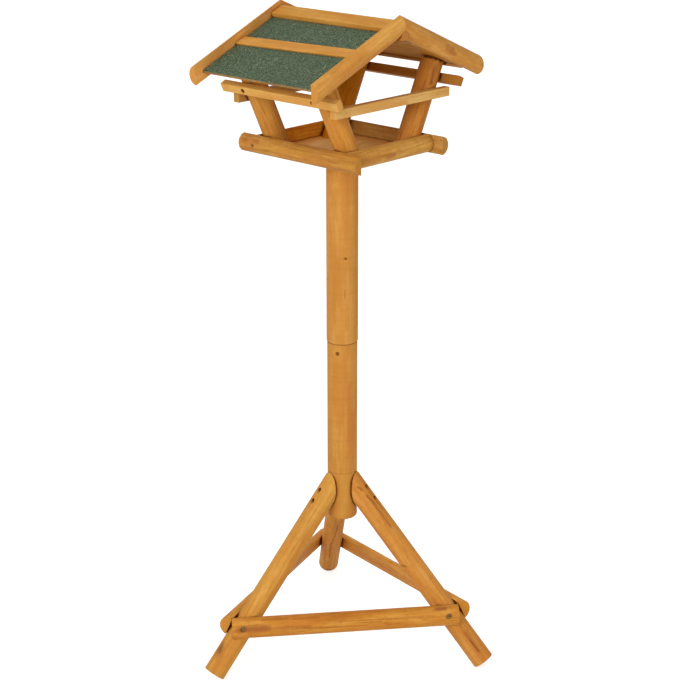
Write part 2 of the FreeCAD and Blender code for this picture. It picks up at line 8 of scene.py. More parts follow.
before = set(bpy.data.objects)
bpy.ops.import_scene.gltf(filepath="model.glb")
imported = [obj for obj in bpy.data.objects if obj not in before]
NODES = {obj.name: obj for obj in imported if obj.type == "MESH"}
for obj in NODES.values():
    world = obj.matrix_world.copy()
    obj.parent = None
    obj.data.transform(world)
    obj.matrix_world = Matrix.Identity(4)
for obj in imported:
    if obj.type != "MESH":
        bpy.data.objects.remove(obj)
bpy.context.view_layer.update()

# The camera that took the photograph
CAMERA_PLACE = Vector((-2.0837, -1.9605, 1.5943))
CAMERA_HEADING = 46.469  # degrees from +Y towards +X
CAMERA_DROP = 19.179  # degrees below level
CAMERA_ROLL = -0.108  # degrees that its right side is raised
PHOTO_PIXELS = 680
FOCAL_PIXELS = 1670.65
CENTRE_PIXEL = (334.67, 341.78)  # of the lens's axis, from the photograph's top left corner
SENSOR_WIDTH = 36.0  # millimetres

# Studio
WORLD_STRENGTH = 0.66
FLOOR_SIZE = 60.0
FLOOR_TONE = 0.8
FLOOR_GLOW = 0.62  # added to the floor where the lens sees it
LAMPS = {  # place, diameter and watts
    "key": ((-3.3, -1.2, 2.1), 1.8, 56.0),
    "fill": ((-1.2, -3.0, 0.9), 2.0, 11.0),
}
LAMP_TARGET = (0.0, 0.0, 0.7)
WHITE = (1.0, 1.0, 1.0, 1.0)

# Stain colours, and the colours of painted shade and painted highlights, as sRGB values from 0 to 255
KNOT_BROWN = (104, 56, 22)
CRACK_BROWN = (92, 50, 18)
STREAK_BROWN = (158, 90, 44)
KNOT_GREY = (126, 84, 48)
RUST_BROWN = (142, 72, 24)
WARM_PATCH = (196, 118, 54)
REDDISH = (178, 104, 52)
# painted shade for crevices, corners and gaps between parts
CREVICE_SHADE = (118, 62, 14)
# painted highlight
HIGHLIGHT_LINE = (238, 190, 128)
RIDGE_END = (192, 126, 60)
# painted shade for screw recesses, holes and gaps
HOLE_SHADE = (40, 24, 10)

# What each kind of piece looks like: its four stain colours, and how strongly each figure shows
STAINS = ("Light", "Main", "Dark", "Warm")
FIGURES = ("Blotch", "Streak", "Fibre", "Fleck", "Rings")
STYLES = {
    "post": dict(main=(208, 141, 61), light=(214, 151, 72), dark=(172, 102, 36), warm=(203, 131, 57),
                 blotch=0.26, streak=0.07, fibre=0.08, fleck=0.08, rings=0.02),
    "leg": dict(main=(211, 143, 63), light=(218, 155, 77), dark=(160, 92, 33), warm=(204, 128, 53),
                blotch=0.24, streak=0.25, fibre=0.18, fleck=0.28, rings=0.10),
    "corner": dict(main=(211, 142, 63), light=(217, 151, 71), dark=(158, 90, 33), warm=(203, 127, 53),
                   blotch=0.26, streak=0.34, fibre=0.20, fleck=0.34, rings=0.10),
    "half_round": dict(main=(210, 142, 63), light=(222, 158, 78), dark=(158, 90, 33), warm=(204, 128, 55),
                       blotch=0.30, streak=0.40, fibre=0.20, fleck=0.40, rings=0.10),
    "barge": dict(main=(210, 143, 63), light=(222, 160, 80), dark=(162, 94, 36), warm=(204, 129, 57),
                  blotch=0.34, streak=0.16, fibre=0.14, fleck=0.24, rings=0.04),
    "strip": dict(main=(214, 156, 78), light=(224, 170, 97), dark=(178, 112, 47), warm=(208, 143, 68),
                  blotch=0.20, streak=0.26, fibre=0.22, fleck=0.18, rings=0.08),
    "under": dict(main=(176, 116, 55), light=(188, 131, 72), dark=(132, 80, 33), warm=(166, 103, 47),
                  blotch=0.30, streak=0.30, fibre=0.20, fleck=0.20, rings=0.08),
    "plywood": dict(main=(206, 156, 95), light=(214, 169, 113), dark=(174, 120, 64), warm=(200, 144, 82),
                    blotch=0.26, streak=0.32, fibre=0.26, fleck=0.20, rings=0.04),
    "beech": dict(main=(214, 176, 131), light=(222, 188, 147), dark=(186, 142, 97), warm=(208, 164, 116),
                  blotch=0.15, streak=0.25, fibre=0.30, fleck=0.40, rings=0.05),
    "pin": dict(main=(146, 84, 41), light=(160, 98, 51), dark=(104, 56, 26), warm=(138, 76, 38),
                blotch=0.3, streak=0.3, fibre=0.3, fleck=0.3, rings=0.2),
}

WOOD_GLOSS = 0.05  # specular level of stained wood
LESS_GLOSS = {"under": 0.01}  # that of the kinds with less of it
PLAIN_TONE = (1.0, 1.0, 1.0)

# Softwood noises: waves per metre along and across the grain, detail, and roughness
NOISES = {
    "wander": (2.6, 15.0, 2.0, 0.5),
    "fibre": (13.0, 820.0, 2.0, 0.6),
    "streak": (8.0, 190.0, 3.0, 0.55),
    "fleck": (60.0, 330.0, 2.0, 0.6),
    "blotch": (7.0, 34.0, 3.0, 0.5),
    "cloud": (17.0, 62.0, 3.0, 0.6),
    "hue": (6.0, 48.0, 3.0, 0.5),
    "band": (120.0, 9.0, 3.0, 0.6),
    "pore": (300.0, 900.0, 2.0, 0.5),
}
WANDER_REACH = 0.014  # width of the band that the grain wanders in
PITH = (0.0, 0.006, 0.012)  # from a piece's middle to the middle of its rings
RINGS_PER_METRE = 270.0
SEED_REACH = 3.0  # how far a piece's figure may be shifted
END_GRAIN = (0.75, 0.9)  # cosines of face to grain between which side grain turns to end grain
ARRIS_RADIUS = 0.0011
# reach of the painted shade in crevices
CREVICE_SHADE_REACH = 0.007
BEVEL_SAMPLES = 4
SHADE_SAMPLES = 8
WOOD_BUMP = {"Strength": 0.3, "Distance": 0.0006}

# Marks on the wood
RIM_WAVES = 420.0  # per metre, of the ragged rim
END_FADE = 0.6  # how fast the ends fade, against the sides

# Roofing felt
FELT_DARK = (53, 73, 52)
FELT_LIGHT = (110, 122, 95)
FELT_DEEP = (38, 54, 40)
FELT_SPECK = (176, 182, 160)
FELT_PATCH = (72, 90, 66)
GRANULES_PER_METRE = 660.0
SPECKS_PER_METRE = 300.0
PATCHES_PER_METRE = 16.0
FELT_GLOSS = 0.25
FELT_BUMP = {"Strength": 0.5, "Distance": 0.0005}

# Screw steel: its clean and grimy colours, and how strongly painted shade darkens its recess
STEELS = {
    "dull_steel": dict(clean=(144, 112, 56), grimy=(82, 58, 28), recess_shade_share=0.95),
    # painted shade: a darkened copy of the steel for screws that sit deep in their holes
    "sunk_shaded_steel": dict(clean=(60, 44, 20), grimy=(34, 22, 8), recess_shade_share=0.95),
    "stained_steel": dict(clean=(176, 112, 50), grimy=(140, 84, 34), recess_shade_share=0.3),
}
SCREW_STEELS = {
    "leg_screws": "sunk_shaded_steel",
    "side_perch_screws": "sunk_shaded_steel",
    "rail_screws": "stained_steel",
}
DIRT_WAVES = 900.0  # per metre
# reach of the painted shade in screw recesses
RECESS_SHADE_REACH = 0.003
STEEL_METALLIC = 0.6
STEEL_BUMP = {"Strength": 0.3, "Distance": 0.0002}


def linear(colour):
    """An sRGB colour from 0 to 255 as linear light with full alpha."""
    channels = []
    for value in colour:
        share = value / 255
        channels.append(share / 12.92 if share <= 0.04045 else ((share + 0.055) / 1.055) ** 2.4)
    return (*channels, 1.0)


def toned(colour, tone_and_shade):
    """An sRGB colour as linear light, times a tone for each channel."""
    red, green, blue, alpha = linear(colour)
    return (red * tone_and_shade[0], green * tone_and_shade[1], blue * tone_and_shade[2], alpha)


class Graph:
    """Adds shader nodes to one node tree and links them."""

    def __init__(self, tree):
        self.tree = tree

    def add(self, kind, feeds=None, **settings):
        node = self.tree.nodes.new(kind)
        for name, value in settings.items():
            setattr(node, name, value)
        for socket, value in (feeds or {}).items():
            self.feed(node.inputs[socket], value)
        return node

    def feed(self, socket, value):
        if isinstance(value, bpy.types.NodeSocket):
            self.tree.links.new(value, socket)
        else:
            socket.default_value = value

    def math(self, operation, first, second=0.0, third=0.0):
        return self.add("ShaderNodeMath", {0: first, 1: second, 2: third}, operation=operation).outputs[0]

    def total(self, *terms):
        """The sum of products, each given as a pair."""
        result = 0.0
        for first, second in terms:
            result = self.math("MULTIPLY_ADD", first, second, result)
        return result

    def vector(self, operation, first, second=(0.0, 0.0, 0.0), output="Vector"):
        feeds = {0: first, 1: second}
        return self.add("ShaderNodeVectorMath", feeds, operation=operation).outputs[output]

    def length(self, vector):
        return self.vector("LENGTH", vector, output="Value")

    def dot(self, first, second):
        return self.vector("DOT_PRODUCT", first, second, output="Value")

    def noise(self, vector, stretch, detail=2.0, roughness=0.5, output="Fac"):
        """Noise with its own number of waves per metre along each axis."""
        scaled = self.vector("MULTIPLY", vector, stretch)
        feeds = {"Vector": scaled, "Scale": 1.0, "Detail": detail, "Roughness": roughness}
        return self.add("ShaderNodeTexNoise", feeds).outputs[output]

    def step(self, value, low, high, to_low=0.0, to_high=1.0):
        """A smooth step from one value to another while the input goes from low to high."""
        feeds = {0: value, 1: low, 2: high, 3: to_low, 4: to_high}
        return self.add("ShaderNodeMapRange", feeds, interpolation_type="SMOOTHSTEP").outputs[0]

    def mix(self, factor, first, second):
        """A mix of two colours, whose sockets come after those for numbers and vectors."""
        return self.add("ShaderNodeMix", {0: factor, 6: first, 7: second}, data_type="RGBA").outputs[2]

    def combine(self, x, y, z):
        return self.add("ShaderNodeCombineXYZ", {0: x, 1: y, 2: z}).outputs[0]

    def separate(self, vector):
        return self.add("ShaderNodeSeparateXYZ", {0: vector}).outputs

    def object_place(self):
        return self.add("ShaderNodeTexCoord").outputs["Object"]

    def seen_from(self, middle, turn, place, unit=1.0):
        """A place in a frame with its own middle, rotation and unit of length."""
        feeds = {"Vector": place, "Location": middle, "Rotation": turn.to_euler(), "Scale": (unit,) * 3}
        return self.add("ShaderNodeMapping", feeds, vector_type="TEXTURE").outputs[0]

    def openness(self, reach):
        """From 0 in a tight corner to 1 where nothing stands within the reach."""
        feeds = {"Distance": reach}
        return self.add("ShaderNodeAmbientOcclusion", feeds, samples=SHADE_SAMPLES).outputs["AO"]


def new_group(name, inputs, outputs):
    """An empty shader group with the named sockets, and its Graph, inputs and outputs."""
    tree = bpy.data.node_groups.new(name, "ShaderNodeTree")
    for socket, kind in inputs:
        tree.interface.new_socket(socket, in_out="INPUT", socket_type=kind)
    for socket, kind in outputs:
        tree.interface.new_socket(socket, in_out="OUTPUT", socket_type=kind)
    graph = Graph(tree)
    return tree, graph, graph.add("NodeGroupInput").outputs, graph.add("NodeGroupOutput").inputs


def grain_noise(graph, place, name, output="Fac"):
    """One of the softwood noises, in a frame with X along the grain."""
    along, across, detail, roughness = NOISES[name]
    return graph.noise(place, (along, across, across), detail, roughness, output)


def make_grain_group():
    """Stained softwood in a frame with X along the grain: fibres, streaks, flecks, blotches and rings.

    Noise crowds about 0.5, so the two ends of a step set how much of the surface shows a figure.
    """
    tree, graph, given, out = new_group(
        "softwood_grain",
        [(name, "NodeSocketVector") for name in ("Place", "Seed")]
        + [(name, "NodeSocketColor") for name in STAINS]
        + [(name, "NodeSocketFloat") for name in ("End", *FIGURES)],
        [("Color", "NodeSocketColor"), ("Roughness", "NodeSocketFloat"), ("Height", "NodeSocketFloat")],
    )
    shifted = graph.vector("ADD", given["Place"], given["Seed"])
    wander = graph.vector("SUBTRACT", grain_noise(graph, shifted, "wander", "Color"), (0.5, 0.5, 0.5))
    wander = graph.vector("MULTIPLY", wander, (0.0, WANDER_REACH, WANDER_REACH))
    bent = graph.vector("ADD", shifted, wander)
    fibre, streak, fleck, cloud, hue, band = (
        grain_noise(graph, bent, name) for name in ("fibre", "streak", "fleck", "cloud", "hue", "band")
    )
    blotch, pore = (grain_noise(graph, shifted, name) for name in ("blotch", "pore"))

    # Each ring darkens slowly and ends sharply in its late wood.
    from_pith = graph.separate(graph.vector("ADD", graph.vector("ADD", given["Place"], PITH), wander))
    radius = graph.length(graph.combine(0.0, from_pith[1], from_pith[2]))
    ring = graph.math("FRACT", graph.math("MULTIPLY", radius, RINGS_PER_METRE))
    ring_end = graph.step(ring, 0.9, 1.0, to_low=1.0, to_high=0.0)
    late = graph.math("MULTIPLY", graph.step(ring, 0.3, 0.88), ring_end)
    late = graph.math("MULTIPLY", late, graph.step(blotch, 0.3, 0.6, to_low=0.35))

    # Pale clouds between the streaks, then warm patches, then the dark figures and faint cross bands
    between_streaks = graph.step(streak, 0.35, 0.6, to_low=1.0, to_high=0.4)
    pale = graph.math("MULTIPLY", graph.step(cloud, 0.46, 0.6), between_streaks)
    colour = graph.mix(pale, given["Main"], given["Light"])
    colour = graph.mix(graph.step(hue, 0.48, 0.64, to_high=0.8), colour, given["Warm"])
    depth = graph.total(
        (graph.step(streak, 0.44, 0.74), given["Streak"]),
        (graph.step(fibre, 0.42, 0.8), given["Fibre"]),
        (graph.step(fleck, 0.5, 0.78), given["Fleck"]),
        (graph.step(blotch, 0.48, 0.76), given["Blotch"]),
        (late, given["Rings"]),
    )
    colour = graph.mix(graph.math("MINIMUM", depth, 1.0), colour, given["Dark"])
    colour = graph.mix(graph.step(band, 0.42, 0.72, to_high=0.14), colour, given["Dark"])

    # End grain drinks more stain, and shows its rings and pores.
    end_depth = graph.total((late, 0.35), (graph.step(pore, 0.4, 0.7), 0.35), (1.0, 0.12))
    end_colour = graph.mix(end_depth, given["Main"], given["Dark"])
    graph.feed(out["Color"], graph.mix(given["End"], colour, end_colour))

    side_roughness = graph.step(fibre, 0.3, 0.8, to_low=0.44, to_high=0.6)
    graph.feed(out["Roughness"], graph.total((side_roughness, 1.0), (given["End"], 0.2)))
    side_height = graph.total((fibre, 0.5), (streak, 0.5), (late, -0.2), (fleck, -0.3))
    end_pore = graph.math("MULTIPLY", pore, given["End"])
    graph.feed(out["Height"], graph.math("MULTIPLY_ADD", end_pore, 0.8, side_height))
    return tree


def make_mark_group():
    """A soft stain round a line on the X axis of its own frame, with a ragged rim and fading ends.

    The frame's unit is the mark's radius. Reach is half the line's length, Core is how far the stain
    stays full, and Ragged is how far its rim strays.
    """
    tree, graph, given, out = new_group(
        "wood_mark",
        [(name, "NodeSocketVector") for name in ("Place", "World")]
        + [(name, "NodeSocketFloat") for name in ("Reach", "Core", "Ragged")],
        [("Mask", "NodeSocketFloat")],
    )
    local = graph.separate(given["Place"])
    past_end = graph.math("SUBTRACT", graph.math("ABSOLUTE", local[0]), given["Reach"])
    beyond = graph.math("MULTIPLY", graph.math("MAXIMUM", past_end, 0.0), END_FADE)
    line_distance = graph.length(graph.combine(beyond, local[1], local[2]))
    stray = graph.math("SUBTRACT", graph.noise(given["World"], (RIM_WAVES,) * 3), 0.5)
    distance = graph.math("MULTIPLY_ADD", stray, given["Ragged"], line_distance)
    graph.feed(out["Mask"], graph.step(distance, given["Core"], 1.0, to_low=1.0, to_high=0.0))
    return tree


GRAIN = make_grain_group()
MARK = make_mark_group()


def long_frame(piece):
    """A piece's middle and a rotation whose X lies along its longest way, from its surface's inertia."""
    mesh = piece.data
    mesh.calc_loop_triangles()
    corners = np.array([vertex.co for vertex in mesh.vertices], float)
    triangles = np.array([triangle.vertices for triangle in mesh.loop_triangles])
    area = np.array([triangle.area for triangle in mesh.loop_triangles])
    middles = corners[triangles].mean(axis=1)
    middle = (middles * area[:, None]).sum(axis=0) / area.sum()
    spread = (middles - middle).T @ ((middles - middle) * area[:, None])
    axes = np.linalg.eigh(spread)[1]
    along, side = axes[:, 2], axes[:, 1]
    turn = Matrix((along, side, np.cross(along, side))).transposed()
    return Vector(middle), turn


def stroke(start, end, width, colour, strength=1.0, core=0.1, ragged=0.5):
    """A mark from one place to another, in millimetres, such as a streak or a crack."""
    return dict(start=Vector(start) / 1000, end=Vector(end) / 1000, width=width / 1000, colour=colour,
                strength=strength, core=core, ragged=ragged)


def spot(place, width, colour, strength=1.0, core=0.2, ragged=0.5, length=None, along=(1, 0, 0)):
    """A round or oval mark about one place, in millimetres, such as a knot."""
    half = Vector(along).normalized() * ((length or width) / 2)
    middle = Vector(place)
    return stroke(middle - half, middle + half, width, colour, strength, core, ragged)


def add_marks(graph, world, colour, marks):
    """A colour with marks on it, one after another."""
    for mark in marks:
        span = mark["end"] - mark["start"]
        along = span.normalized()
        side = along.orthogonal().normalized()
        turn = Matrix((along, side, along.cross(side))).transposed()
        radius = mark["width"] / 2
        stain = graph.add("ShaderNodeGroup", {
            "Place": graph.seen_from((mark["start"] + mark["end"]) / 2, turn, world, radius),
            "World": world,
            "Reach": max(span.length / 2 - radius, 0.0) / radius,
            "Core": mark["core"],
            "Ragged": mark["ragged"],
        }, node_tree=MARK)
        share = graph.math("MULTIPLY", stain.outputs["Mask"], mark["strength"])
        colour = graph.mix(share, colour, linear(mark["colour"]))
    return colour


def new_material(name):
    material = bpy.data.materials.new(name)
    material.use_nodes = True
    material.node_tree.nodes.clear()
    return material, Graph(material.node_tree)


def finish_material(graph, shader):
    graph.add("ShaderNodeOutputMaterial", {"Surface": shader.outputs[0]})


def stained_wood(name, piece, style, seed, tone_and_shade=PLAIN_TONE, marks=()):
    """A stained softwood material whose grain runs along the piece."""
    material, graph = new_material(name)
    middle, turn = long_frame(piece)
    world = graph.object_place()
    flat = graph.add("ShaderNodeNewGeometry").outputs["True Normal"]
    face_to_grain = graph.math("ABSOLUTE", graph.dot(flat, turn.col[0]))
    rng = random.Random(seed)
    look = STYLES[style]
    feeds = {
        "Place": graph.seen_from(middle, turn, world),
        "Seed": Vector([rng.uniform(-SEED_REACH, SEED_REACH) for axis in "xyz"]),
        "End": graph.step(face_to_grain, *END_GRAIN),
    }
    for stain in STAINS:
        feeds[stain] = toned(look[stain.lower()], tone_and_shade)
    for figure in FIGURES:
        feeds[figure] = look[figure.lower()]
    grain = graph.add("ShaderNodeGroup", feeds, node_tree=GRAIN)
    colour = add_marks(graph, world, grain.outputs["Color"], marks)

    # Worn arrises are paler, and crevices and corners get painted shade: a dark colour where little open
    # room stands round the surface.
    rounded = graph.add("ShaderNodeBevel", {"Radius": ARRIS_RADIUS}, samples=BEVEL_SAMPLES).outputs[0]
    worn = graph.step(graph.dot(rounded, flat), 0.995, 0.9, to_high=0.4)
    colour = graph.mix(worn, colour, toned(look["light"], tone_and_shade))
    crevice_shade = graph.step(graph.openness(CREVICE_SHADE_REACH), 0.35, 0.82, to_low=0.9, to_high=0.0)
    colour = graph.mix(crevice_shade, colour, linear(CREVICE_SHADE))

    feeds = {**WOOD_BUMP, "Height": grain.outputs["Height"], "Normal": rounded}
    bump = graph.add("ShaderNodeBump", feeds)
    finish_material(graph, graph.add("ShaderNodeBsdfPrincipled", {
        "Base Color": colour, "Roughness": grain.outputs["Roughness"], "Normal": bump.outputs[0],
        "Specular IOR Level": LESS_GLOSS.get(style, WOOD_GLOSS),
    }))
    return material


def mineral_felt():
    """Green roofing felt: fine mineral granules of mixed greens with a few pale ones."""
    material, graph = new_material("mineral_felt")
    place = graph.object_place()
    granules = graph.add("ShaderNodeTexVoronoi", {"Vector": place, "Scale": GRANULES_PER_METRE})
    chance = graph.separate(granules.outputs["Color"])
    colour = graph.mix(graph.step(chance[0], 0.1, 0.9), linear(FELT_DARK), linear(FELT_LIGHT))
    colour = graph.mix(graph.step(chance[2], 0.9, 0.94), colour, linear(FELT_DEEP))

    # A few pale specks, smaller than their cells
    specks = graph.add("ShaderNodeTexVoronoi", {"Vector": place, "Scale": SPECKS_PER_METRE})
    chosen = graph.step(graph.separate(specks.outputs["Color"])[1], 0.945, 0.96)
    near = graph.step(specks.outputs["Distance"], 0.25, 0.4, to_low=1.0, to_high=0.0)
    colour = graph.mix(graph.math("MULTIPLY", chosen, near), colour, linear(FELT_SPECK))
    patch = graph.noise(place, (PATCHES_PER_METRE,) * 3, 3.0)
    colour = graph.mix(graph.step(patch, 0.35, 0.7, to_high=0.3), colour, linear(FELT_PATCH))

    height = graph.math("SUBTRACT", 1.0, granules.outputs["Distance"])
    bump = graph.add("ShaderNodeBump", {**FELT_BUMP, "Height": height})
    finish_material(graph, graph.add("ShaderNodeBsdfPrincipled", {
        "Base Color": colour, "Roughness": graph.step(chance[1], 0.0, 1.0, to_low=0.8, to_high=0.95),
        "Normal": bump.outputs[0], "Specular IOR Level": FELT_GLOSS,
    }))
    return material


def screw_steel(name, clean, grimy, recess_shade_share):
    """Zinc-plated screw steel, dulled and grimy, with painted shade in its recess."""
    material, graph = new_material(name)
    dirt = graph.noise(graph.object_place(), (DIRT_WAVES,) * 3, 3.0)
    colour = graph.mix(graph.step(dirt, 0.35, 0.7), linear(clean), linear(grimy))
    # Painted shade: the recess darkens where little open room stands round it.
    recess_shade = graph.step(graph.openness(RECESS_SHADE_REACH), 0.35, 0.85, to_low=recess_shade_share, to_high=0.0)
    colour = graph.mix(recess_shade, colour, linear(HOLE_SHADE))
    bump = graph.add("ShaderNodeBump", {**STEEL_BUMP, "Height": dirt})
    finish_material(graph, graph.add("ShaderNodeBsdfPrincipled", {
        "Base Color": colour, "Roughness": graph.step(dirt, 0.3, 0.7, to_low=0.4, to_high=0.65),
        "Metallic": STEEL_METALLIC, "Normal": bump.outputs[0],
    }))
    return material


# The kind of a piece, by the start of its name
PIECE_STYLES = (
    (("upper_post", "lower_post", "hub_block"), "post"),
    (("leg_",), "leg"),
    (("corner_post_",), "corner"),
    (("brace_", "tray_rail_"), "half_round"),
    (("barge_board_",), "barge"),
    (("perch_", "ridge_slat_", "roof_batten_"), "strip"),
    (("ridge_beam", "gable_cleat_", "eave_batten_", "roof_lining_", "roof_panel_"), "under"),
    (("tray_floor",), "plywood"),
    (("hub_dowel", "post_dowel"), "beech"),
    (("joint_pin",), "pin"),
)

# Brightness of single pieces against their kind, for red, green and blue: partly each piece's own stain,
# partly painted light and shade that copies how brightly each piece is lit
TONES_AND_PAINTED_LIGHT = {
    "barge_board_left_far": (1.15, 1.3, 1.65),
    "barge_board_left_near": (1.05, 1.15, 1.25),
    "barge_board_right_near": (0.95, 1.0, 1.05),
    "brace_front": (1.0, 1.0, 0.8),
    "brace_rear_left": (1.1, 1.2, 1.1),
    "brace_rear_right": (1.2, 1.25, 1.0),
    "corner_post_left_far": (0.9, 0.95, 0.9),
    "corner_post_left_near": (0.95, 0.95, 0.85),
    # painted shade: darker where the post stands in shade under the roof
    "corner_post_right_far": (0.85, 0.75, 0.15),
    "corner_post_right_near": (0.85, 0.8, 0.7),
    # painted light: paler to offset the shade under the eaves
    "eave_batten_left": (1.6, 2.1, 3.2),
    "eave_batten_right": (1.6, 2.1, 3.2),
    "gable_cleat_right_near": (1.35, 1.55, 1.35),
    "hub_block": (0.95, 1.05, 1.05),
    "leg_left": (1.05, 1.2, 1.2),
    "leg_rear": (1.05, 1.05, 0.9),
    "lower_post": (0.95, 1.0, 1.05),
    "perch_far": (0.8, 0.9, 1.05),
    "perch_left": (1.1, 1.2, 1.2),
    "perch_near": (1.1, 1.25, 1.5),
    # painted shade: darker where the perch stands in shade
    "perch_right": (0.7, 0.6, 0.4),
    "ridge_beam": (1.15, 1.25, 1.4),
    "ridge_slat_left": (1.0, 0.95, 0.7),
    "roof_batten_left": (1.05, 1.0, 0.8),
    "roof_lining_left": (1.2, 1.25, 0.6),
    "roof_lining_right": (1.2, 1.3, 0.45),
    "roof_panel_left": (0.85, 1.15, 1.9),
    "tray_floor": (1.6, 1.75, 1.55),
    "tray_rail_far": (1.25, 1.25, 0.55),
    "tray_rail_left": (0.9, 1.0, 1.0),
    "tray_rail_near": (1.0, 1.2, 1.3),
    "tray_rail_right": (0.85, 1.05, 1.3),
    "upper_post": (0.95, 1.0, 1.1),
}

# The painted shadow in the gap round the top of the right near corner post, under the barge board, in
# millimetres
POST_TOP_SHADOW = [
    (119.7, -80.0, 1112.5),
    (125.0, -98.5, 1110.5),
    (132.5, -103.6, 1107.0),
    (144.0, -104.5, 1102.5),
]

# A painted shadow line under the ridge beam and a painted highlight line below it, run over the lining
# and the gable cleat under the ridge
UNDER_RIDGE_SHADOW_AND_HIGHLIGHT = [
    # painted shadow below the ridge beam
    stroke((46.0, -82.0, 1146.5), (27.5, -127.0, 1151.3), 6, CRACK_BROWN, 0.85),
    # painted highlight on the lit edge below it
    stroke((61.8, -72.4, 1139.8), (42.0, -127.8, 1145.0), 9, HIGHLIGHT_LINE, 0.5, ragged=0.9),
]

